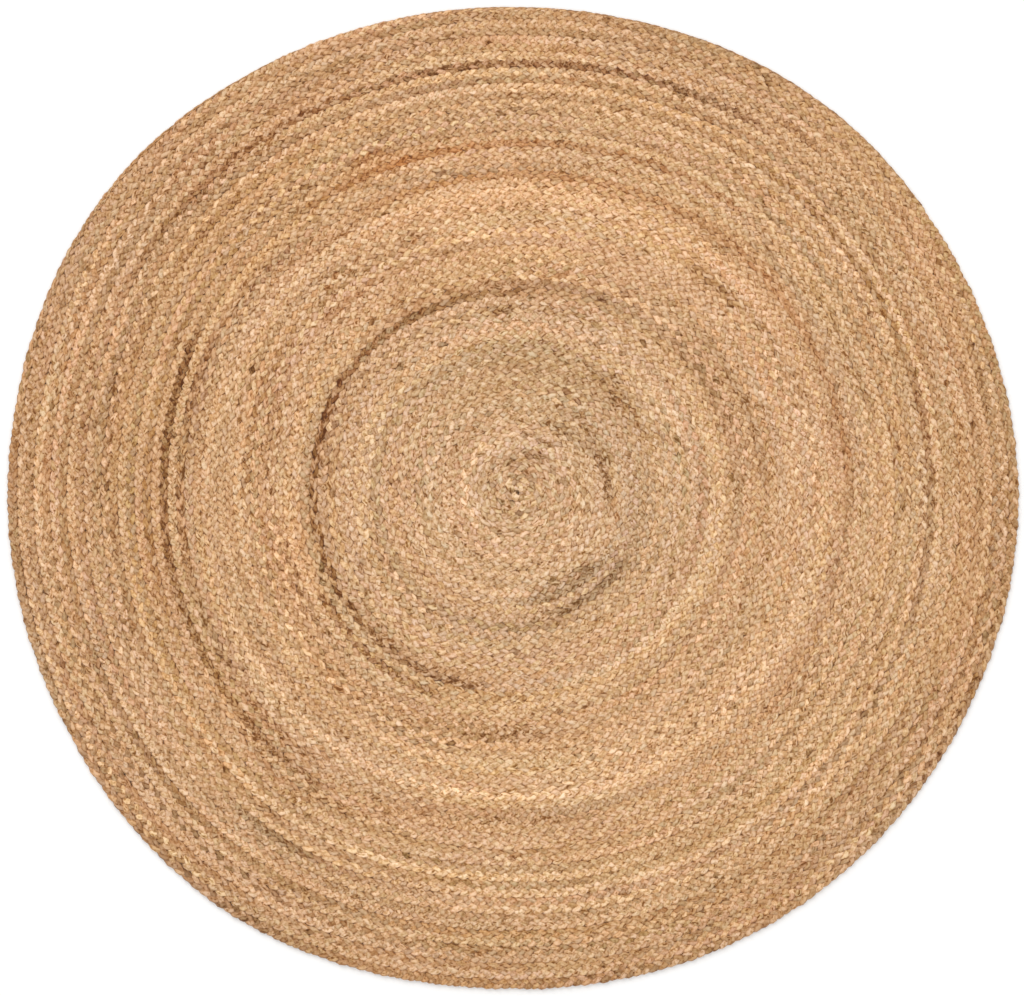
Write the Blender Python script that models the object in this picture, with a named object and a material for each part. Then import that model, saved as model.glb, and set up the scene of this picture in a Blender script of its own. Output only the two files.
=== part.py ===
# Round braided jute rug, lying flat. Narrow three-strand plaits are wound in a flat spiral
# and stitched edge to edge, so the rug is one piece of cloth with no backing and no
# binding. Metres, +Z up, underside on Z = 0, bounding box centred on the Z axis.

import math

import bmesh
import bpy
from mathutils import Vector

PLAIT_WIDTH = 0.010
ROUNDS = 60
MEAN_RADIUS = PLAIT_WIDTH * ROUNDS
THICKNESS = 0.009
RIM_DEPTH = 0.0045
RIM_STEPS = 6
OUTLINE_POINTS = 180

# The hand-wound outline wanders in and out of the true circle by these waves:
# how many times round, how far in metres, and the bearing of its first crest in degrees
# counter-clockwise from +X.
WAVES = (
    {"times": 2, "swell": 0.0078, "crest": -1.0},
    {"times": 3, "swell": 0.0019, "crest": 20.0},
    {"times": 4, "swell": 0.0032, "crest": -40.0},
    {"times": 5, "swell": 0.0010, "crest": 4.0},
    {"times": 6, "swell": 0.0010, "crest": -1.0},
    {"times": 7, "swell": 0.0007, "crest": -12.6},
    {"times": 8, "swell": 0.0006, "crest": 8.0},
)

JUTE_COLOUR = (0.591, 0.347, 0.181, 1.0)
JUTE_ROUGHNESS = 0.92


def clear_scene():
    for thing in list(bpy.data.objects):
        bpy.data.objects.remove(thing, do_unlink=True)


def outline_radius(angle):
    """Radius of the rug's edge at an angle in radians."""
    waves = sum(
        wave["swell"] * math.cos(wave["times"] * (angle - math.radians(wave["crest"])))
        for wave in WAVES
    )
    return MEAN_RADIUS + waves


def outline_angles():
    return [math.tau * step / OUTLINE_POINTS for step in range(OUTLINE_POINTS)]


def box_middle():
    """Middle of the outline's bounding box, which becomes the rug's origin."""
    points = [Vector((math.cos(a), math.sin(a))) * outline_radius(a) for a in outline_angles()]
    low = Vector((min(p.x for p in points), min(p.y for p in points)))
    high = Vector((max(p.x for p in points), max(p.y for p in points)))
    return (low + high) / 2


def rim_profile():
    """Inset from the outline and height, from the underside's edge up to the top's edge."""
    steps = [math.pi * step / RIM_STEPS - math.pi / 2 for step in range(RIM_STEPS + 1)]
    return [
        (RIM_DEPTH * (1 - math.cos(turn)), THICKNESS * (1 + math.sin(turn)) / 2)
        for turn in steps
    ]


def add_ring(mesh, inset, height, middle):
    """One closed ring of points, following the outline at this inset and height."""
    ring = []
    for angle in outline_angles():
        reach = outline_radius(angle) - inset
        place = (reach * math.cos(angle) - middle.x, reach * math.sin(angle) - middle.y, height)
        ring.append(mesh.verts.new(place))
    return ring


def join_rings(mesh, lower, upper):
    for here in range(OUTLINE_POINTS):
        after = (here + 1) % OUTLINE_POINTS
        mesh.faces.new((lower[here], lower[after], upper[after], upper[here]))


def jute_material():
    jute = bpy.data.materials.new("jute")
    jute.use_nodes = True
    shader = jute.node_tree.nodes["Principled BSDF"]
    shader.inputs["Base Color"].default_value = JUTE_COLOUR
    shader.inputs["Roughness"].default_value = JUTE_ROUGHNESS
    shader.inputs["Metallic"].default_value = 0.0
    return jute


def make_rug():
    """The whole rug as one flat closed solid with a rounded rim."""
    middle = box_middle()
    shape = bmesh.new()
    rings = [add_ring(shape, inset, height, middle) for inset, height in rim_profile()]
    for lower, upper in zip(rings, rings[1:]):
        join_rings(shape, lower, upper)
    shape.faces.new(list(reversed(rings[0])))
    shape.faces.new(rings[-1])
    bmesh.ops.recalc_face_normals(shape, faces=shape.faces)

    mesh = bpy.data.meshes.new("rug")
    shape.to_mesh(mesh)
    shape.free()
    mesh.materials.append(jute_material())
    mesh.shade_smooth()
    mesh.set_sharp_from_angle(angle=math.radians(40))
    rug = bpy.data.objects.new("rug", mesh)
    bpy.context.scene.collection.objects.link(rug)
    return rug


clear_scene()
make_rug()
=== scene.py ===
import bpy
import math
import numpy as np
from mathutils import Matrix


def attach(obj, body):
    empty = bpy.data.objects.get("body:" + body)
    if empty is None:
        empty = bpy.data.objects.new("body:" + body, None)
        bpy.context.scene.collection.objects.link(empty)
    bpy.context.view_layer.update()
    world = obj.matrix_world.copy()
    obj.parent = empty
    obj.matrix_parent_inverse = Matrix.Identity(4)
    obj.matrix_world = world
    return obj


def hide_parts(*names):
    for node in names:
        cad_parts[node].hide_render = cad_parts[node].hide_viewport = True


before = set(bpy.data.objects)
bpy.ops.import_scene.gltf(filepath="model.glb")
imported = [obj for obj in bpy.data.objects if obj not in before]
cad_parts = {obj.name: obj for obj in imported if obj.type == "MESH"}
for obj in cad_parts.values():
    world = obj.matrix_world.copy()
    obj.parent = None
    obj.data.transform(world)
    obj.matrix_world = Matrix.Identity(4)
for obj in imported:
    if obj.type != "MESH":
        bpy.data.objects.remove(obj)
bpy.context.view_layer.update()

# The rug is wound from two narrow three-strand plaits that lie side by side. Lengths are
# metres, bearings are degrees counter-clockwise from +X, and the turns run clockwise.
rug = {
    "meanRadius": 0.600,
    "outlineWaves": (
        {"times": 2, "swell": 0.0078, "crest": -1.0},
        {"times": 3, "swell": 0.0019, "crest": 20.0},
        {"times": 4, "swell": 0.0032, "crest": -40.0},
        {"times": 5, "swell": 0.0010, "crest": 4.0},
        {"times": 6, "swell": 0.0010, "crest": -1.0},
        {"times": 7, "swell": 0.0007, "crest": -12.6},
        {"times": 8, "swell": 0.0006, "crest": 8.0},
    ),
    "heart": (0.0095, 0.0060),   # the winding starts this far off the middle
    "pairWidth": 0.01967,        # both plaits side by side, in the outer rounds
    "wholePairs": 29,            # rounds of the pair inside the single plait at the rim
    "rimShare": 0.54,            # share of a pair's width that the rim plait takes
    "looseTurns": 15,            # the first rounds are wound a little wider
    "stepBearing": 120,          # where a round steps out to the next one
    "stepSpread": 0.36,          # share of a turn that the step takes
    "stepsFrom": 11,             # the turn where the winding starts to go in steps
    "stepsFull": 19,
    "stepDepth": 0.92,           # 1 would close every round completely
    "outlinePoints": 180,
    "looseHold": 0.7,            # share of the loose turns before they tighten
    "looseFade": 0.6,            # share of them over which they tighten
    "fineSteps": 4000,
    "stepsPerTurn": 900,
    "leastPair": 0.6,            # share of the pair's width that is never gone below
    "pairsFrom": 0.62,           # share of the radius where the plaits start to lie in pairs
    "pairsFade": 0.10,
    "startTurns": 0.6,           # the first turns grow out of the heart
    "startShare": 0.15,
    "wander": 0.0007,            # how far a round strays from its line, and over what length
    "wanderSpacing": 0.055,
    "steadyRim": 12,
    "halfPlane": 0.7,
    "thickness": 0.0090,
    "highest": 0.0105,
    "seed": 11,
}

plaits = {
    "innerPlait": {
        "low": 0.005, "high": 0.535, "even": -0.020, "firstTurn": 0.05, "lastTurn": 30.74,
        "stitchLength": 0.0360, "swing": 0.0037, "rise": 0.00225,
        "halfWidth": 0.0035, "halfHeight": 0.00205, "lift": -0.0001, "tone": -6.5,
    },
    "outerPlait": {
        "low": 0.475, "high": 0.975, "even": 0.025, "firstTurn": 0.35, "lastTurn": 29.74,
        "stitchLength": 0.0330, "swing": 0.0037, "rise": 0.00225,
        "halfWidth": 0.0035, "halfHeight": 0.00205, "lift": 0.0002, "tone": 6.5,
    },
}

strandMake = {
    "sides": 6,
    "ringsPerStitch": 8,
    "lengths": 4,
    "strandsPerPlait": 3,
    "apart": 10,            # straight strands lie this far apart before they are bent
    "longer": 1.2,          # a strand's length over its plait's
    "flatWidth": 0.0225,    # three strands side by side
    "bud": 1.2,             # the strands start thicker, which fills the heart of the spiral
    "budLength": 0.020,
    "leastFull": 0.2,
    "mostFull": 1.1,
}

# How the hand-made plait varies: over what length, by how much, and which random draw.
stitchUneven = (
    {"spacing": 0.35, "share": 0.12, "draw": 1},
    {"spacing": 0.045, "share": 0.26, "draw": 2},
)
strandUneven = {
    "thickShort": {"spacing": 0.011, "much": 0.15, "draw": 0},
    "thickLong": {"spacing": 0.12, "much": 0.08, "draw": 3},
    "shift": {"spacing": 0.014, "much": 0.0006, "draw": 6},
    "tall": {"spacing": 0.013, "much": 0.00035, "draw": 9},
}
plaitUneven = {"spacing": 0.09, "much": 0.03, "draw": 20}

# Undyed jute and the other lots of yarn that are spun in with it, as they look in even
# light: light is the mean of the three channels, warm is red over blue, red is red over
# green, all from 0 to 255. The lots are given as differences from the base.
juteBase = {"light": 160.5, "warm": 73, "red": 36.5, "gain": 1.17}
juteLots = {
    "straw": {"light": 17, "warm": 1, "red": -2},
    "honey": {"light": 6, "warm": 10, "red": 2},
    "pink": {"light": 3, "warm": -3, "red": 4},
    "brown": {"light": -24, "warm": 7, "red": 4},
    "rust": {"light": -22, "warm": 20, "red": 13},
    "umber": {"light": -72, "warm": 4, "red": 4},
    "slate": {"light": -44, "warm": -9, "red": -5},
    "olive": {"light": -6, "warm": 0, "red": -5},
    "grey": {"light": -12, "warm": -6, "red": -3},
}

# The whole winding grows paler and darker in rings: share of the radius, and how much.
ringLights = (
    {"reach": 0.00, "light": 8}, {"reach": 0.15, "light": 2}, {"reach": 0.25, "light": 1},
    {"reach": 0.33, "light": -4}, {"reach": 0.47, "light": 1}, {"reach": 0.58, "light": 6},
    {"reach": 0.67, "light": -3}, {"reach": 0.72, "light": 3}, {"reach": 0.78, "light": -4},
    {"reach": 0.82, "light": -2}, {"reach": 0.87, "light": -7}, {"reach": 0.92, "light": -5},
    {"reach": 1.00, "light": -13},
)

# Lengths of another lot spliced into one strand: share of the radius, bearings, lot, depth.
darkRuns = (
    {"reach": 0.870, "from": 0, "to": 60, "lot": "brown", "depth": 0.8},
    {"reach": 0.885, "from": 55, "to": 150, "lot": "umber", "depth": 0.8},
    {"reach": 0.860, "from": 120, "to": 150, "lot": "umber", "depth": 0.6},
    {"reach": 0.828, "from": 0, "to": 95, "lot": "brown", "depth": 1.0},
    {"reach": 0.800, "from": 115, "to": 165, "lot": "brown", "depth": 1.2},
    {"reach": 0.770, "from": 0, "to": 30, "lot": "brown", "depth": 0.8},
    {"reach": 0.725, "from": 50, "to": 130, "lot": "rust", "depth": 1.4},
    {"reach": 0.740, "from": 108, "to": 117, "lot": "rust", "depth": 2.4},
    {"reach": 0.720, "from": 106, "to": 113, "lot": "rust", "depth": 2.0},
    {"reach": 0.575, "from": 42, "to": 55, "lot": "umber", "depth": 0.8},
    {"reach": 0.430, "from": 205, "to": 250, "lot": "umber", "depth": 0.8},
    {"reach": 0.700, "from": 150, "to": 240, "lot": "umber", "depth": 1.0},
    {"reach": 0.720, "from": 215, "to": 245, "lot": "brown", "depth": 1.0},
    {"reach": 0.670, "from": 150, "to": 235, "lot": "umber", "depth": 0.7},
    {"reach": 0.662, "from": 0, "to": 120, "lot": "rust", "depth": 1.2},
    {"reach": 0.665, "from": 250, "to": 340, "lot": "brown", "depth": 0.6},
    {"reach": 0.645, "from": 150, "to": 175, "lot": "brown", "depth": 1.0},
    {"reach": 0.755, "from": 270, "to": 360, "lot": "brown", "depth": 0.7},
    {"reach": 0.890, "from": 190, "to": 360, "lot": "brown", "depth": 0.6},
    {"reach": 0.835, "from": 225, "to": 245, "lot": "slate", "depth": 0.9},
    {"reach": 0.870, "from": 195, "to": 205, "lot": "slate", "depth": 0.9},
    {"reach": 0.580, "from": 38, "to": 50, "lot": "umber", "depth": 0.8},
    {"reach": 0.540, "from": 100, "to": 180, "lot": "brown", "depth": 0.8},
    {"reach": 0.510, "from": 120, "to": 140, "lot": "brown", "depth": 1.0},
    {"reach": 0.500, "from": 180, "to": 270, "lot": "brown", "depth": 0.7},
    {"reach": 0.490, "from": 255, "to": 280, "lot": "umber", "depth": 0.8},
    {"reach": 0.450, "from": 278, "to": 285, "lot": "umber", "depth": 0.7},
    {"reach": 0.490, "from": 0, "to": 60, "lot": "slate", "depth": 0.6},
    {"reach": 0.455, "from": 0, "to": 50, "lot": "slate", "depth": 0.6},
    {"reach": 0.465, "from": 180, "to": 225, "lot": "brown", "depth": 0.8},
    {"reach": 0.430, "from": 185, "to": 260, "lot": "brown", "depth": 0.8},
    {"reach": 0.450, "from": 110, "to": 135, "lot": "slate", "depth": 0.7},
    {"reach": 0.398, "from": 85, "to": 265, "lot": "umber", "depth": 0.95},
    {"reach": 0.380, "from": 60, "to": 130, "lot": "slate", "depth": 0.6},
    {"reach": 0.370, "from": 88, "to": 101, "lot": "umber", "depth": 0.9},
    {"reach": 0.310, "from": 70, "to": 115, "lot": "slate", "depth": 0.7},
    {"reach": 0.310, "from": 195, "to": 240, "lot": "brown", "depth": 1.0},
    {"reach": 0.290, "from": 205, "to": 215, "lot": "umber", "depth": 0.8},
    {"reach": 0.275, "from": 20, "to": 60, "lot": "umber", "depth": 0.8},
    {"reach": 0.350, "from": 270, "to": 345, "lot": "brown", "depth": 0.8},
    {"reach": 0.310, "from": 295, "to": 315, "lot": "rust", "depth": 0.8},
    {"reach": 0.250, "from": 285, "to": 330, "lot": "slate", "depth": 1.1},
    {"reach": 0.225, "from": 270, "to": 325, "lot": "slate", "depth": 1.0},
    {"reach": 0.200, "from": 275, "to": 320, "lot": "slate", "depth": 0.9},
    {"reach": 0.175, "from": -15, "to": 38, "lot": "umber", "depth": 1.0},
    {"reach": 0.190, "from": 15, "to": 70, "lot": "slate", "depth": 1.1},
    {"reach": 0.160, "from": 30, "to": 75, "lot": "slate", "depth": 1.1},
    {"reach": 0.125, "from": 45, "to": 90, "lot": "slate", "depth": 0.9},
    {"reach": 0.190, "from": 90, "to": 102, "lot": "umber", "depth": 0.7},
    {"reach": 0.090, "from": 50, "to": 85, "lot": "umber", "depth": 0.7},
    {"reach": 0.090, "from": 215, "to": 270, "lot": "umber", "depth": 0.6},
    {"reach": 0.055, "from": 95, "to": 120, "lot": "umber", "depth": 0.6},
)

# How much the strands differ, in the same steps of light: between strands, between the
# stitches of one strand, and within a stitch.
juteMix = {
    "strandLots": 0.8, "shortLots": 0.5,
    "strandLight": 9, "stitchLight": 6.5, "fineLight": 9, "paler": 0.6, "darker": 1.25,
    "roundLight": 6, "plaitLight": 2.5, "heartMore": 0.5, "pairsLess": 0.5,
    "splicedLight": 16, "slubLight": 55, "splicedFleck": 0.5, "slubFleck": 0.6,
    "splicedFrom": 0.45, "slubFrom": 0.76, "slubPatchEdge": 3,
    "hue": 7, "heartWarm": 5, "heartRed": 3, "hueRed": 0.5, "fineHueRed": 0.35,
    "warmWithLight": 0.2, "redWithLight": 0.12,
    # the groove and side amounts on the next line are painted shade: darker and warmer low in the
    # grooves and on the strands' flanks
    "grooveShade": 9, "side": 14, "shadeWarm": 11, "grooveShadeFrom": 0.0075, "grooveShadeDepth": 0.004,
    "runStrand": 0.52, "runOthers": 0.26,
}

# From one random value to the next: metres of strand, or turns for round and plait.
waveLengths = {
    "strand": 0.7, "stitch": 0.033, "fine": 0.008, "round": 0.85, "plait": 0.7,
    "spliced": 0.13, "slub": 0.009, "slubPatch": 0.25, "hue": 0.11, "fineHue": 0.07,
}

# Where the heart's tones end and those of the outer pairs begin: share of the radius, and
# over what share of it they change.
toneZones = {
    "heartHue": {"at": 0.5, "fade": 0.2},
    "heart": {"at": 0.40, "fade": 0.10},
    "pairs": {"at": 0.65, "fade": 0.10},
}

# Lots of yarn that come and go along each strand: the spacing of the first lot, how much
# longer each next one is, and how high a random value has to be for the lot to show.
longLots = {"lots": ("straw", "brown", "honey", "pink", "olive", "grey"),
            "spacing": 0.55, "longer": 0.13, "from": 0.3, "draw": 31}
shortLots = {"lots": ("rust", "straw", "slate", "honey"),
             "spacing": 0.16, "longer": 0.04, "from": 0.35, "draw": 41}

# A dark run's ends fade over this many turns, and its depth varies along it.
# It belongs to the round that is nearest to it within so many degrees of its middle.
runMake = {"fade": 0.012, "least": 0.8, "varies": 0.4, "spacing": 0.05,
           "otherFlecks": 0.7, "deepest": 72,
           "degrees": 1.0, "bearingWeight": 0.01, "reachWeight": 100}

# Broad patches where all strands take the colour of another lot: centre, half depth along
# the radius, half sweep in degrees, lot and share of it. Two of them are painted light.
yarnPatches = (
    {"reach": 0.600, "bearing": 270, "deep": 0.040, "sweep": 50, "lot": "straw", "share": 0.5},
    {"reach": 0.555, "bearing": 300, "deep": 0.020, "sweep": 60, "lot": "straw", "share": 0.6},
    {"reach": 0.585, "bearing": 85, "deep": 0.035, "sweep": 45, "lot": "straw", "share": 0.4},
    {"reach": 0.400, "bearing": 315, "deep": 0.030, "sweep": 35, "lot": "straw", "share": 0.5},
    {"reach": 0.740, "bearing": 320, "deep": 0.040, "sweep": 60, "lot": "straw", "share": 0.4},
    # painted light: this patch and the next make the lower right paler and the left darker, as
    # light falling from the lower right would
    {"reach": 0.820, "bearing": 300, "deep": 0.080, "sweep": 60, "lot": "straw", "share": 0.5},
    {"reach": 0.790, "bearing": 165, "deep": 0.060, "sweep": 40, "lot": "brown", "share": 0.3},
    {"reach": 0.720, "bearing": 180, "deep": 0.050, "sweep": 50, "lot": "brown", "share": 0.4},
    {"reach": 0.400, "bearing": 170, "deep": 0.020, "sweep": 70, "lot": "brown", "share": 0.35},
    {"reach": 0.500, "bearing": 100, "deep": 0.030, "sweep": 140, "lot": "brown", "share": 0.25},
    {"reach": 0.650, "bearing": 60, "deep": 0.020, "sweep": 70, "lot": "brown", "share": 0.45},
    {"reach": 0.180, "bearing": 30, "deep": 0.060, "sweep": 50, "lot": "grey", "share": 0.3},
    {"reach": 0.240, "bearing": 315, "deep": 0.040, "sweep": 40, "lot": "grey", "share": 0.5},
    {"reach": 0.210, "bearing": 90, "deep": 0.060, "sweep": 50, "lot": "olive", "share": 0.3},
    {"reach": 0.725, "bearing": 112, "deep": 0.015, "sweep": 10, "lot": "rust", "share": 0.5},
)


def smoothStep(share):
    share = np.clip(share, 0.0, 1.0)
    return share * share * (3 - 2 * share)


def jitterAlong(along, spacing, seed):
    # smooth random values between -1 and 1, with one new value each spacing
    place = np.maximum(along, 0.0) / spacing
    knots = np.random.default_rng(seed).uniform(-1, 1, int(place.max()) + 3)
    before = place.astype(int)
    share = smoothStep(place - before)
    return knots[before] * (1 - share) + knots[before + 1] * share


def jitterOver(x, y, spacing, seed):
    # the same over the rug's plane
    half = rug["halfPlane"]
    across = int(2 * half / spacing) + 4
    knots = np.random.default_rng(seed).uniform(-1, 1, (across, across))
    placeX, placeY = (x + half) / spacing, (y + half) / spacing
    column, row = placeX.astype(int), placeY.astype(int)
    shareX, shareY = smoothStep(placeX - column), smoothStep(placeY - row)
    lower = knots[row, column] * (1 - shareX) + knots[row, column + 1] * shareX
    upper = knots[row + 1, column] * (1 - shareX) + knots[row + 1, column + 1] * shareX
    return lower * (1 - shareY) + upper * shareY


def outlineReach(bearing):
    reach = np.full(bearing.shape, rug["meanRadius"])
    for wave in rug["outlineWaves"]:
        turned = wave["times"] * (bearing - math.radians(wave["crest"]))
        reach = reach + wave["swell"] * np.cos(turned)
    return reach


def outlineMiddle():
    points = rug["outlinePoints"]
    bearing = np.arange(points) * math.tau / points
    reach = outlineReach(bearing)
    x, y = reach * np.cos(bearing), reach * np.sin(bearing)
    return (x.min() + x.max()) / 2, (y.min() + y.max()) / 2


middleX, middleY = outlineMiddle()


def roundRadius(rounds):
    # radius at the outer edge of a number of rounds of the pair, before the outline's waves
    width, whole = rug["pairWidth"], rug["wholePairs"] + rug["rimShare"]
    spare = rug["meanRadius"] - width * whole
    fine = np.linspace(0, whole + 3, rug["fineSteps"])
    loose = rug["looseTurns"]
    wider = 1 - smoothStep((fine - rug["looseHold"] * loose) / (rug["looseFade"] * loose))
    wider = wider * (fine <= whole)
    grown = np.cumsum(wider)
    grown = grown / grown[-1] * spare
    return np.where(rounds < 0, 0.0, np.interp(rounds, fine, fine * width + grown))


def windingRounds(turn):
    # how many rounds lie inside the pair's outer edge: an even spiral in the heart, and
    # further out nearly closed rounds that step outwards in one sector
    whole = np.floor(turn)
    share = turn - whole
    stepped = smoothStep((turn - rug["stepsFrom"]) / (rug["stepsFull"] - rug["stepsFrom"]))
    stepped = stepped * rug["stepDepth"]
    step = smoothStep((share - 0.5) / rug["stepSpread"] + 0.5)
    return whole + (1 - stepped) * share + stepped * step


def plaitPath(kind):
    # the line that a plait follows, as arrays along its length
    make = plaits[kind]
    turn = np.arange(make["firstTurn"], make["lastTurn"], 1 / rug["stepsPerTurn"])
    inside = roundRadius(windingRounds(turn - 1 + 1e-9) * (turn >= 1))
    inside = np.where(turn < 1, 0.0, inside)
    pair = roundRadius(windingRounds(turn)) - inside
    pair = np.maximum(pair, rug["leastPair"] * rug["pairWidth"])
    rim = rug["meanRadius"]
    low = np.minimum(inside + make["low"] * pair, rim)
    high = np.minimum(inside + make["high"] * pair, rim)
    outer = smoothStep((inside / rim - rug["pairsFrom"]) / rug["pairsFade"])
    radius = (low + high) / 2 + make["even"] * pair * (1 - outer)
    fullness = (high - low) / ((make["high"] - make["low"]) * rug["pairWidth"])
    radius = radius * smoothStep(turn / rug["startTurns"] + rug["startShare"])
    bearing = math.radians(rug["stepBearing"] + 180) - math.tau * turn
    share = radius / rim
    reach = share * outlineReach(bearing)
    x = rug["heart"][0] * (1 - share) + reach * np.cos(bearing) - middleX
    y = rug["heart"][1] * (1 - share) + reach * np.sin(bearing) - middleY
    loose = np.minimum(1.0, (1 - share) * rug["steadyRim"]) * rug["wander"]
    wavy = loose * jitterOver(x, y, rug["wanderSpacing"], rug["seed"])
    x, y = x + wavy * np.cos(bearing), y + wavy * np.sin(bearing)
    step = np.hypot(np.diff(x), np.diff(y))
    along = np.concatenate(([0.0], np.cumsum(step)))
    slopeX, slopeY = np.gradient(x, along), np.gradient(y, along)
    size = np.hypot(slopeX, slopeY)
    return {"along": along, "x": x, "y": y, "outX": -slopeY / size, "outY": slopeX / size,
            "fullness": fullness, "share": share, "bearing": bearing, "turn": turn}


def plaitOrder(kind):
    return list(plaits).index(kind)


def plaitSeed(kind):
    return rug["seed"] + 100 * plaitOrder(kind)


def stitchPhase(kind, path):
    # how far the three strands have gone round each other, in radians, along the plait
    make = plaits[kind]
    along = path["along"]
    uneven = np.ones(len(along))
    for part in stitchUneven:
        wave = jitterAlong(along, part["spacing"], plaitSeed(kind) + part["draw"])
        uneven = uneven + part["share"] * wave
    length = make["stitchLength"] * uneven
    steps = np.diff(along) / (0.5 * (length[1:] + length[:-1]))
    return np.concatenate(([0.0], np.cumsum(steps))) * math.tau


def addLot(tone, lot, share):
    for place, part in enumerate(("light", "warm", "red")):
        tone[:, place] += juteLots[lot][part] * share


def juteColour(tone):
    # from light, warm and red to the red, green and blue of the material
    red = tone[:, 0] + (tone[:, 1] + tone[:, 2]) / 3
    shown = np.stack([red, red - tone[:, 2], red - tone[:, 1]], axis=1) / 255
    shown = np.clip(shown, 0.02, 0.98)
    return np.clip(((shown + 0.055) / 1.055) ** 2.4 * juteBase["gain"], 0.005, 0.95)


def peaksOf(wave, limit):
    # 0 below the limit, and up to 1 where the wave is highest
    return np.clip(wave - juteMix[limit], 0, 1) / (1 - juteMix[limit])


def inZone(zone, share, way):
    # way is 1 for what lies outside the zone's edge and -1 for what lies inside it
    make = toneZones[zone]
    return smoothStep(way * (share - make["at"]) / make["fade"])


def mixLots(tone, along, group, share, seed):
    for order, lot in enumerate(group["lots"]):
        spacing = group["spacing"] + group["longer"] * order
        much = jitterAlong(along, spacing, seed + group["draw"] + order)
        addLot(tone, lot, np.clip(much - group["from"], 0, 1) * share)


def strandTone(kind, strand, along, path):
    # light, warm and red of a strand at each of its rings
    seed = plaitSeed(kind) + 10 * strand
    share = np.interp(along, path["along"], path["share"])
    turn = np.interp(along, path["along"], path["turn"])
    bearing = np.interp(along, path["along"], path["bearing"])
    tone = np.zeros((len(along), 3)) + (juteBase["light"], juteBase["warm"], juteBase["red"])
    tone[:, 0] += np.interp(share, [ring["reach"] for ring in ringLights],
                            [ring["light"] for ring in ringLights])
    inHeart = inZone("heartHue", share, -1)
    tone[:, 1] -= juteMix["heartWarm"] * inHeart
    tone[:, 2] -= juteMix["heartRed"] * inHeart
    for patch in yarnPatches:
        away = np.degrees(bearing) - patch["bearing"]
        away = (away + 180) % 360 - 180
        near = np.exp(-((share - patch["reach"]) / patch["deep"]) ** 2
                      - (away / patch["sweep"]) ** 2)
        addLot(tone, patch["lot"], near * patch["share"])
    mixLots(tone, along, longLots, juteMix["strandLots"], seed)
    mixLots(tone, along, shortLots, juteMix["shortLots"], seed)
    tone[:, 0] += juteMix["strandLight"] * jitterAlong(along, waveLengths["strand"], seed + 3)
    uneven = juteMix["stitchLight"] * jitterAlong(along, waveLengths["stitch"], seed + 4)
    uneven += juteMix["fineLight"] * jitterAlong(along, waveLengths["fine"], seed + 5)
    tone[:, 0] += uneven * np.where(uneven > 0, juteMix["paler"], juteMix["darker"])
    apart = inZone("pairs", share, 1)
    tone[:, 0] += plaits[kind]["tone"] * apart
    heart = inZone("heart", share, -1)
    less = juteMix["pairsLess"] * apart
    roundWave = jitterAlong(turn, waveLengths["round"], rug["seed"] + 7)
    plaitWave = jitterAlong(turn, waveLengths["plait"], plaitOrder(kind) + 8)
    tone[:, 0] += juteMix["roundLight"] * roundWave * (1 + juteMix["heartMore"] * heart - less)
    tone[:, 0] += juteMix["plaitLight"] * plaitWave * (1 - less)
    spliced = peaksOf(jitterAlong(along, waveLengths["spliced"], seed + 51), "splicedFrom")
    slub = peaksOf(jitterAlong(along, waveLengths["slub"], seed + 54), "slubFrom")
    slubPatch = jitterAlong(along, waveLengths["slubPatch"], seed + 55)
    slub = slub * smoothStep(slubPatch * juteMix["slubPatchEdge"])
    tone[:, 0] -= juteMix["splicedLight"] * spliced + juteMix["slubLight"] * slub
    hueWave = jitterAlong(along, waveLengths["hue"], seed + 52)
    fineHueWave = jitterAlong(along, waveLengths["fineHue"], seed + 53)
    redWave = juteMix["hueRed"] * hueWave + juteMix["fineHueRed"] * fineHueWave
    tone[:, 1] += juteMix["hue"] * hueWave - juteMix["warmWithLight"] * uneven
    tone[:, 2] += juteMix["hue"] * redWave - juteMix["redWithLight"] * uneven
    fleck = juteMix["splicedFleck"] * spliced + juteMix["slubFleck"] * slub
    for order, run in enumerate(darkRuns):
        runPlait, runStrand = chosenStrand(order, run)
        if runPlait != kind:
            continue
        middle, half = runTurns(kind, run)
        within = smoothStep((half - np.abs(turn - middle)) / runMake["fade"]) * run["depth"]
        wave = jitterAlong(along, runMake["spacing"], seed + 60 + order)
        patchy = runMake["least"] + runMake["varies"] * wave
        much = juteMix["runStrand"] if strand == runStrand else juteMix["runOthers"]
        addLot(tone, run["lot"], within * patchy * much)
        depth = -juteLots[run["lot"]]["light"] / runMake["deepest"]
        flecked = 1.0 if strand == runStrand else runMake["otherFlecks"]
        fleck = np.maximum(fleck, within * patchy * depth * flecked)
    return np.column_stack([tone, fleck])


def runTurns(kind, run):
    # the middle of a dark run and half its length, in turns
    path = paths[kind]
    middleBearing = (run["from"] + run["to"]) / 2
    away = (np.degrees(path["bearing"]) - middleBearing + 180) % 360 - 180
    away = np.abs(away)
    near = away * runMake["bearingWeight"]
    near = near + np.abs(path["share"] - run["reach"]) * runMake["reachWeight"]
    near = np.where(away < runMake["degrees"], near, np.inf)
    return path["turn"][int(np.argmin(near))], (run["to"] - run["from"]) / 720


def chosenStrand(order, run):
    # the plait nearest to the run's place, and one strand of it
    nearest = {}
    for kind, path in paths.items():
        middle = runTurns(kind, run)[0]
        share = np.interp(middle, path["turn"], path["share"])
        nearest[kind] = abs(share - run["reach"])
    kind = min(nearest, key=nearest.get)
    return kind, (order * 7) % strandMake["strandsPerPlait"]


def deselectAll():
    if bpy.context.object and bpy.context.object.mode != "OBJECT":
        bpy.ops.object.mode_set(mode="OBJECT")
    bpy.ops.object.select_all(action="DESELECT")


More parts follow.
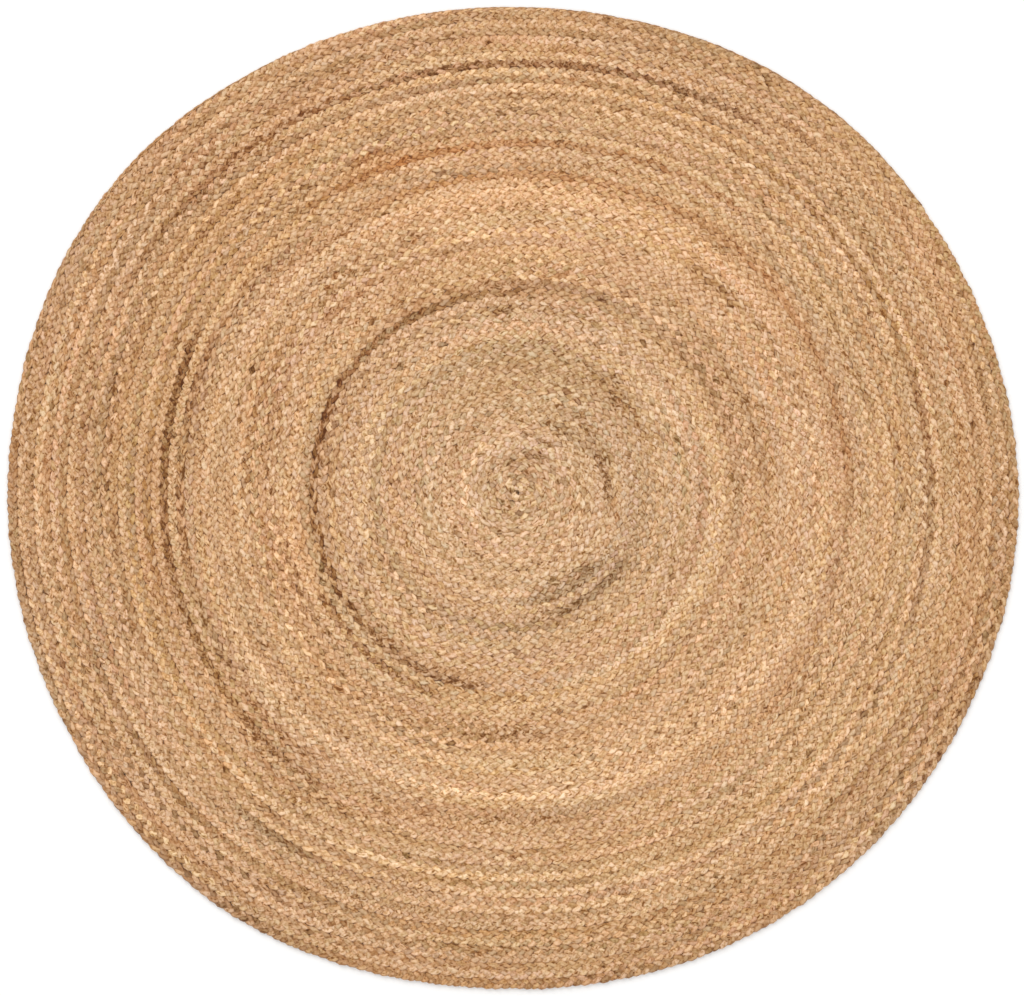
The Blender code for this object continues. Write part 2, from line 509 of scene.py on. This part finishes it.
def straightStrand(name, rings, sideways):
    # a straight six-sided strand, one unit between rings, closed at both ends
    deselectAll()
    bpy.ops.mesh.primitive_circle_add(
        vertices=strandMake["sides"], radius=1.0, fill_type="NOTHING",
        location=(0, sideways, 0), rotation=(0, math.pi / 2, 0),
    )
    strand = bpy.context.object
    strand.name = name
    bpy.ops.object.transform_apply(location=True, rotation=True, scale=True)
    bpy.ops.object.mode_set(mode="EDIT")
    bpy.ops.mesh.select_all(action="SELECT")
    bpy.ops.mesh.extrude_region_move(TRANSFORM_OT_translate={"value": (1, 0, 0)})
    bpy.ops.object.mode_set(mode="OBJECT")
    repeat = strand.modifiers.new("rings", "ARRAY")
    repeat.count = rings - 1
    repeat.use_relative_offset = False
    repeat.use_constant_offset = True
    repeat.constant_offset_displace = (1, 0, 0)
    repeat.use_merge_vertices = True
    repeat.merge_threshold = 0.0001
    bpy.ops.object.modifier_apply(modifier="rings")
    bpy.ops.object.mode_set(mode="EDIT")
    bpy.ops.mesh.select_all(action="SELECT")
    bpy.ops.mesh.fill_holes(sides=strandMake["sides"])
    bpy.ops.mesh.select_all(action="SELECT")
    bpy.ops.mesh.normals_make_consistent(inside=False)
    bpy.ops.object.mode_set(mode="OBJECT")
    return strand


def joinStrands(strands, name):
    deselectAll()
    for strand in strands:
        strand.select_set(True)
    bpy.context.view_layer.objects.active = strands[0]
    bpy.ops.object.join()
    piece = bpy.context.object
    piece.name = name
    piece.data.name = name
    return piece


def unevenPart(part, along, seed):
    make = strandUneven[part]
    return make["much"] * jitterAlong(along, make["spacing"], seed + make["draw"])


def layStrands(piece, kind, firstRing):
    # bends the straight strands into the plait, and the plait into the rug
    make, path = plaits[kind], paths[kind]
    phase = phases[kind]
    mesh = piece.data
    count = len(mesh.vertices)
    straight = np.empty(count * 3)
    mesh.vertices.foreach_get("co", straight)
    straight = straight.reshape(count, 3)
    strands, rings = strandMake["strandsPerPlait"], strandMake["ringsPerStitch"]
    strandOf = np.rint(straight[:, 1] / strandMake["apart"]).astype(int)
    ringOf = np.rint(straight[:, 0]).astype(int)
    around = np.arctan2(straight[:, 2], straight[:, 1] - strandOf * strandMake["apart"])
    sideOf = np.rint(around / (math.tau / strandMake["sides"])).astype(int) % strandMake["sides"]

    started = np.rint(strandOf * rings / strands)   # all strands start together
    swingTurn = (ringOf + firstRing + started) * math.tau / rings
    along = np.interp(swingTurn - strandOf * math.tau / strands, phase, path["along"])
    fullness = np.interp(along, path["along"], path["fullness"])
    fullness = np.clip(fullness, strandMake["leastFull"], strandMake["mostFull"])
    seed = plaitSeed(kind) + 400
    thick, shift, tall = np.zeros(count), np.zeros(count), np.zeros(count)
    tone = np.zeros((count, 4))
    for strand in range(strands):
        mine = strandOf == strand
        where = along[mine]
        thick[mine] = 1 + unevenPart("thickShort", where, seed + strand) \
            + unevenPart("thickLong", where, seed + strand)
        shift[mine] = unevenPart("shift", where, seed + strand)
        tall[mine] = unevenPart("tall", where, seed + strand)
        tone[mine] = strandTone(kind, strand, where, path)

    wideWave = jitterAlong(along, plaitUneven["spacing"], seed + plaitUneven["draw"])
    plaitWide = fullness * (1 + plaitUneven["much"] * wideWave)
    swing, rise = make["swing"] * plaitWide, make["rise"] * np.sqrt(fullness)
    bud = 1 + strandMake["bud"] * np.exp(-along / strandMake["budLength"])
    halfWidth = make["halfWidth"] * thick * fullness * bud
    halfHeight = make["halfHeight"] * thick * np.sqrt(fullness)
    # which way the strand runs, its side and its upper side, along, out of and above the plait
    goAlong = make["stitchLength"] / math.tau
    goOut = swing * np.cos(swingTurn)
    goUp = 2 * rise * np.cos(2 * swingTurn)
    flat = np.hypot(goAlong, goOut)
    size = np.hypot(flat, goUp)
    sideAlong, sideOut = -goOut / flat, goAlong / flat
    upAlong, upOut = -goUp * goAlong / (flat * size), -goUp * goOut / (flat * size)
    upUp = flat / size

    across, above = halfWidth * np.cos(around), halfHeight * np.sin(around)
    along = along + across * sideAlong + above * upAlong
    out = swing * np.sin(swingTurn) + shift + across * sideOut + above * upOut
    high = rise * np.sin(2 * swingTurn) + tall + above * upUp
    baseX = np.interp(along, path["along"], path["x"])
    baseY = np.interp(along, path["along"], path["y"])
    outX = np.interp(along, path["along"], path["outX"])
    outY = np.interp(along, path["along"], path["outY"])
    laid = np.empty((count, 3))
    laid[:, 0] = baseX + out * outX
    laid[:, 1] = baseY + out * outY
    laid[:, 2] = np.clip(rug["thickness"] / 2 + make["lift"] + high, 0.0, rug["highest"])
    mesh.vertices.foreach_set("co", laid.ravel())

    # painted shade: the strands are darker and warmer low down in the grooves between them and on
    # their flanks, where the rug lies in shade
    low = np.clip((juteMix["grooveShadeFrom"] - laid[:, 2]) / juteMix["grooveShadeDepth"], 0, 1)
    side = np.abs(np.cos(around)) * 2 - 1   # 1 on a strand's flanks, 0 on its crown: painted shade on the flanks
    tone[:, 0] -= juteMix["grooveShade"] * low + juteMix["side"] * side
    tone[:, 1] += juteMix["shadeWarm"] * (low + side)
    tone[:, 2] += juteMix["shadeWarm"] * (low + side) / 2
    tint = np.ones((count, 4))
    tint[:, :3] = juteColour(tone)
    tint[:, 3] = np.clip(tone[:, 3], 0, 1)   # share of dark flecks
    colour = mesh.attributes.new("tint", "FLOAT_COLOR", "POINT")
    colour.data.foreach_set("color", tint.ravel())
    unrollStrands(mesh, kind, strandOf, ringOf, sideOf, firstRing)
    mesh.update()


mapMake = {
    "longer": 1.18,          # length of strand on the map over length of plait
    "strandApart": 70.0,     # metres between two strands on the map
    "stripTall": 0.018,
    "edge": 0.005,
    "rowGap": 0.08,
    "endFrom": 0.1,
    "endApart": 0.12,
    "endSize": 0.005,
}


def unrollStrands(mesh, kind, strandOf, ringOf, sideOf, firstRing):
    # one map that runs along and around each strand, and one with the strips packed in rows
    sides, strands = strandMake["sides"], strandMake["strandsPerPlait"]
    corners = len(mesh.loops)
    vertexOf = np.empty(corners, dtype=np.int32)
    mesh.loops.foreach_get("vertex_index", vertexOf)
    starts = np.empty(len(mesh.polygons), dtype=np.int32)
    totals = np.empty(len(mesh.polygons), dtype=np.int32)
    mesh.polygons.foreach_get("loop_start", starts)
    mesh.polygons.foreach_get("loop_total", totals)
    faceOf = np.repeat(np.arange(len(starts)), totals)
    ring, side, strand = ringOf[vertexOf], sideOf[vertexOf], strandOf[vertexOf]
    firstOf = np.minimum.reduceat(ring, starts)[faceOf]
    lowSide = np.minimum.reduceat(side, starts)[faceOf]
    highSide = np.maximum.reduceat(side, starts)[faceOf]
    wraps = (lowSide == 0) & (highSide == sides - 1)
    isEnd = totals[faceOf] > 4
    side = np.where(wraps & (side == 0) & ~isEnd, sides, side)
    ringLength = plaits[kind]["stitchLength"] * mapMake["longer"] / strandMake["ringsPerStitch"]
    strandUv = np.empty((corners, 2))
    strandUv[:, 0] = (ring + firstRing) * ringLength + strand * mapMake["strandApart"]
    strandUv[:, 1] = side / sides
    uv = mesh.uv_layers.new(name="strand")
    uv.data.foreach_set("uv", strandUv.ravel())

    rings = ringOf.max()
    across = math.sqrt(strands * rings * ringLength * mapMake["stripTall"])
    perRow = int(across / ringLength) + 1
    rowsEach = -(-int(rings) // perRow)
    rows = rowsEach * strands + 1
    strip = firstOf // perRow
    row = np.where(isEnd, rows - 1, strip * strands + strand)
    edge, gap = mapMake["edge"], mapMake["rowGap"]
    bakeUv = np.empty((corners, 2))
    bakeUv[:, 0] = (ring - strip * perRow) / perRow * (1 - 2 * edge) + edge
    bakeUv[:, 1] = (row + gap + (1 - 2 * gap) * side / sides) / rows
    endTurn = side / sides * math.tau
    endX = mapMake["endFrom"] + mapMake["endApart"] * (strand * 2 + (ring > 0))
    endX = endX + mapMake["endSize"] * np.cos(endTurn)
    endY = (row + 0.5) / rows + mapMake["endSize"] * np.sin(endTurn)
    bakeUv[:, 0] = np.where(isEnd, endX, bakeUv[:, 0])
    bakeUv[:, 1] = np.where(isEnd, endY, bakeUv[:, 1])
    uv = mesh.uv_layers.new(name="OFBake")
    uv.data.foreach_set("uv", bakeUv.ravel())


def addNode(tree, kind, place, **values):
    node = tree.nodes.new(kind)
    node.location = place
    for name, value in values.items():
        setattr(node, name, value)
    return node


def sumNode(tree, how, first, second, place):
    node = addNode(tree, "ShaderNodeMath", place, operation=how)
    for socket, value in zip(node.inputs, (first, second)):
        if isinstance(value, (int, float)):
            socket.default_value = value
        else:
            tree.links.new(value, socket)
    return node.outputs[0]


def mixColour(tree, how, factor, first, second, place):
    node = addNode(tree, "ShaderNodeMix", place, data_type="RGBA", blend_type=how)
    sockets = (node.inputs[0], node.inputs[6], node.inputs[7])
    for socket, value in zip(sockets, (factor, first, second)):
        if isinstance(value, (int, float, tuple)):
            socket.default_value = value
        else:
            tree.links.new(value, socket)
    return node.outputs[2]


def yarnNoise(tree, vector, scale, detail, place, offset=(0.0, 0.0, 0.0)):
    # a noise that is drawn out along the yarns
    drawn = addNode(tree, "ShaderNodeMapping", (-1500, place))
    drawn.inputs["Scale"].default_value = (*scale, 1)
    drawn.inputs["Location"].default_value = offset
    tree.links.new(vector, drawn.inputs[0])
    noise = addNode(tree, "ShaderNodeTexNoise", (-1300, place))
    noise.inputs["Scale"].default_value = 1.0
    noise.inputs["Detail"].default_value = detail
    tree.links.new(drawn.outputs[0], noise.inputs["Vector"])
    return noise.outputs[0]


juteFinish = {
    "yarnsPerStrand": 3,
    "yarnTwist": 0.045,       # metres of strand in which the yarns go once round
    "yarnGapShade": 0.26,          # painted shade: how much darker it is between two yarns
    "specklesAlong": 270.0,
    "specklesAround": 5.2,
    "speckle": 0.83,
    "flecksAlong": 150.0,
    "flecksAround": 6.5,
    "fleckShare": 0.352,      # how much of the plain yarn is flecked
    "runShare": 0.20,         # and how much more of the dark yarn
    "fleckDark": 0.66,
    "palest": 1.17,
    "fibresAlong": 120.0,
    "fibresAround": 14.0,
    "fibre": 0.17,
    "yarnBump": 0.00045,
    "fibreBump": 0.00018,
    "sheen": 0.12,
    "deepening": (0.70, 1.03, 1.60),   # darker fibres are also warmer, and so is the painted shade between the yarns
    "yarnMean": 0.64,         # mean height of the yarns' round backs
    "contrast": 3,
    "fleckEdge": 13.0,        # how sharply a fleck ends
    "fleckOffset": (3.7, 1.3, 0.5),
    "darkest": 0.22,
    "roughLeast": 0.75,
    "roughMore": 0.25,
}


def juteMaterial():
    jute = bpy.data.materials.new("jute")
    jute.use_nodes = True
    tree = jute.node_tree
    shader = tree.nodes["Principled BSDF"]
    tint = addNode(tree, "ShaderNodeAttribute", (-1400, 300), attribute_name="tint")
    strand = addNode(tree, "ShaderNodeUVMap", (-1900, 0), uv_map="strand")
    parts = addNode(tree, "ShaderNodeSeparateXYZ", (-1700, 0))
    tree.links.new(strand.outputs[0], parts.inputs[0])

    # the yarns of a strand, twisted slowly round it
    twist = sumNode(tree, "DIVIDE", parts.outputs[0], juteFinish["yarnTwist"], (-1500, 100))
    count = sumNode(tree, "MULTIPLY", parts.outputs[1], juteFinish["yarnsPerStrand"], (-1500, -50))
    turns = sumNode(tree, "ADD", twist, count, (-1300, 50))
    angle = sumNode(tree, "MULTIPLY", turns, math.pi, (-1150, 50))
    wave = sumNode(tree, "SINE", angle, 0.0, (-1000, 50))
    yarn = sumNode(tree, "ABSOLUTE", wave, 0.0, (-850, 50))

    across = sumNode(tree, "DIVIDE", turns, juteFinish["yarnsPerStrand"], (-1150, -100))
    twisted = addNode(tree, "ShaderNodeCombineXYZ", (-1000, -100))
    tree.links.new(parts.outputs[0], twisted.inputs[0])
    tree.links.new(across, twisted.inputs[1])

    # speckles about as long as a yarn is thick, and long thin fibres, all along the yarns
    speckleScale = (juteFinish["specklesAlong"], juteFinish["specklesAround"])
    speckle = yarnNoise(tree, twisted.outputs[0], speckleScale, 2.0, -250)
    fibreScale = (juteFinish["fibresAlong"], juteFinish["fibresAround"])
    fibre = yarnNoise(tree, twisted.outputs[0], fibreScale, 3.0, -550)

    # brightness: 1 on average, with painted shade between the yarns, speckled and streaked
    yarnShadePart = sumNode(tree, "MULTIPLY", yarn, juteFinish["yarnGapShade"], (-650, 50))
    plain = 1 - juteFinish["yarnGapShade"] * juteFinish["yarnMean"]
    yarnShadePart = sumNode(tree, "ADD", yarnShadePart, plain, (-500, 50))
    speckleMuch = juteFinish["speckle"] * juteFinish["contrast"]
    specklePart = sumNode(tree, "SUBTRACT", speckle, 0.5, (-1000, -250))
    specklePart = sumNode(tree, "MULTIPLY", specklePart, speckleMuch, (-850, -250))
    fibreMuch = juteFinish["fibre"] * juteFinish["contrast"]
    fibrePart = sumNode(tree, "SUBTRACT", fibre, 0.5, (-1000, -550))
    fibrePart = sumNode(tree, "MULTIPLY", fibrePart, fibreMuch, (-850, -550))

    # separate dark flecks where dark yarn is spun in, and a few of them everywhere
    fleckScale = (juteFinish["flecksAlong"], juteFinish["flecksAround"])
    fleck = yarnNoise(tree, twisted.outputs[0], fleckScale, 1.0, -1150,
                      juteFinish["fleckOffset"])
    darkYarn = tint.outputs["Alpha"]
    reachOf = sumNode(tree, "MULTIPLY", darkYarn, juteFinish["runShare"], (-1100, -1150))
    edge = sumNode(tree, "ADD", reachOf, juteFinish["fleckShare"], (-950, -1150))
    above = sumNode(tree, "SUBTRACT", edge, fleck, (-800, -1150))
    mask = sumNode(tree, "MULTIPLY", above, juteFinish["fleckEdge"], (-650, -1150))
    mask.node.use_clamp = True
    fleckDark = sumNode(tree, "MULTIPLY", mask, -juteFinish["fleckDark"], (-500, -1150))
    specklePart = sumNode(tree, "ADD", specklePart, fleckDark, (-500, -250))
    light = sumNode(tree, "ADD", yarnShadePart, specklePart, (-350, 0))
    light = sumNode(tree, "ADD", light, fibrePart, (-200, 0))
    light = sumNode(tree, "MAXIMUM", light, juteFinish["darkest"], (-50, 0))
    light = sumNode(tree, "MINIMUM", light, juteFinish["palest"], (50, -100))
    grey = addNode(tree, "ShaderNodeCombineColor", (100, 0))
    for order, power in enumerate(juteFinish["deepening"]):
        channel = sumNode(tree, "POWER", light, power, (-50, -150 - 150 * order))
        tree.links.new(channel, grey.inputs[order])
    colour = mixColour(tree, "MULTIPLY", 1.0, tint.outputs["Color"], grey.outputs[0], (300, 200))
    tree.links.new(colour, shader.inputs["Base Color"])

    # the fibres make it more and less rough
    rough = sumNode(tree, "MULTIPLY", fibre, juteFinish["roughMore"], (100, -300))
    rough = sumNode(tree, "ADD", rough, juteFinish["roughLeast"], (250, -300))
    tree.links.new(rough, shader.inputs["Roughness"])
    shader.inputs["Specular IOR Level"].default_value = 0.25
    shader.inputs["Sheen Weight"].default_value = juteFinish["sheen"]
    shader.inputs["Sheen Roughness"].default_value = 0.5

    yarnHeight = sumNode(tree, "MULTIPLY", yarn, juteFinish["yarnBump"], (-650, -800))
    fibreHeight = sumNode(tree, "MULTIPLY", fibre, juteFinish["fibreBump"], (-650, -950))
    height = sumNode(tree, "ADD", yarnHeight, fibreHeight, (-450, -850))
    bump = addNode(tree, "ShaderNodeBump", (-200, -850))
    bump.inputs["Strength"].default_value = 1.0
    bump.inputs["Distance"].default_value = 1.0
    tree.links.new(height, bump.inputs["Height"])
    tree.links.new(bump.outputs[0], shader.inputs["Normal"])
    shader.location = (600, 0)
    return jute


def makePlait(kind, jute):
    # a plait's length is made in several pieces, one behind the other
    lastTurnRing = int(phases[kind][-1] / math.tau * strandMake["ringsPerStitch"])
    cuts = np.linspace(1, lastTurnRing - 2, strandMake["lengths"] + 1).astype(int)
    for order, (start, end) in enumerate(zip(cuts, cuts[1:])):
        name = f"{kind}_{order + 1}"
        rings = int(end - start)
        strands = [
            straightStrand(f"{name}_{strand}", rings + 1, strand * strandMake["apart"])
            for strand in range(strandMake["strandsPerPlait"])
        ]
        piece = joinStrands(strands, name)
        layStrands(piece, kind, int(start))
        piece.data.materials.clear()
        piece.data.materials.append(jute)
        piece.data.shade_smooth()
        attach(piece, "root")
        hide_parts("rug")
        length = rings / strandMake["ringsPerStitch"] * plaits[kind]["stitchLength"]
        length = length * strandMake["longer"]
        print("Laid", name, len(piece.data.polygons), "faces")


paths = {kind: plaitPath(kind) for kind in plaits}
phases = {kind: stitchPhase(kind, paths[kind]) for kind in plaits}
jute = juteMaterial()
for kind in plaits:
    makePlait(kind, jute)

studio = {
    "floorColour": (0.90, 0.90, 0.895),
    "floorSize": 60,
    "skyStrength": 1.0,
    "lampPower": 30.0,
    "lampSize": 2.0,
    "lampPlace": (-0.5, 1.6, 2.6),
    "cameraLens": 85.0,
    "sensorWidth": 36,
    "frameWidth": 1.2280,
    "cameraShift": (0.0006, -0.0007),
}


def makeFloor():
    deselectAll()
    bpy.ops.mesh.primitive_plane_add(size=studio["floorSize"], location=(0, 0, 0))
    floor = bpy.context.object
    floor.name = "floor"
    paper = bpy.data.materials.new("paleFloor")
    paper.use_nodes = True
    shader = paper.node_tree.nodes["Principled BSDF"]
    shader.inputs["Base Color"].default_value = (*studio["floorColour"], 1)
    shader.inputs["Roughness"].default_value = 0.9
    floor.data.materials.append(paper)


def lightStudio():
    world = bpy.data.worlds.new("softWorld")
    world.use_nodes = True
    sky = world.node_tree.nodes["Background"]
    sky.inputs["Color"].default_value = (1, 1, 1, 1)
    sky.inputs["Strength"].default_value = studio["skyStrength"]
    bpy.context.scene.world = world
    deselectAll()
    bpy.ops.object.light_add(type="AREA", location=studio["lampPlace"])
    lamp = bpy.context.object
    lamp.name = "softLamp"
    lamp.data.shape = "DISK"
    lamp.data.size = studio["lampSize"]
    lamp.data.energy = studio["lampPower"]
    aim = -lamp.location
    lamp.rotation_euler = aim.to_track_quat("-Z", "Y").to_euler()


def placeCamera():
    distance = studio["frameWidth"] * studio["cameraLens"] / studio["sensorWidth"]
    shiftX, shiftY = studio["cameraShift"]
    place = (shiftX - middleX, shiftY - middleY, distance + rug["thickness"])
    deselectAll()
    bpy.ops.object.camera_add(location=place)
    camera = bpy.context.object
    camera.name = "camera"
    camera.data.lens = studio["cameraLens"]
    camera.data.sensor_width = studio["sensorWidth"]
    camera.data.sensor_fit = "HORIZONTAL"
    camera.data.clip_end = 50
    camera.rotation_euler = (0, 0, 0)
    bpy.context.scene.camera = camera


makeFloor()
lightStudio()
placeCamera()
bpy.context.scene.view_settings.view_transform = "Standard"
bpy.context.view_layer.update()

print("Rug finished")
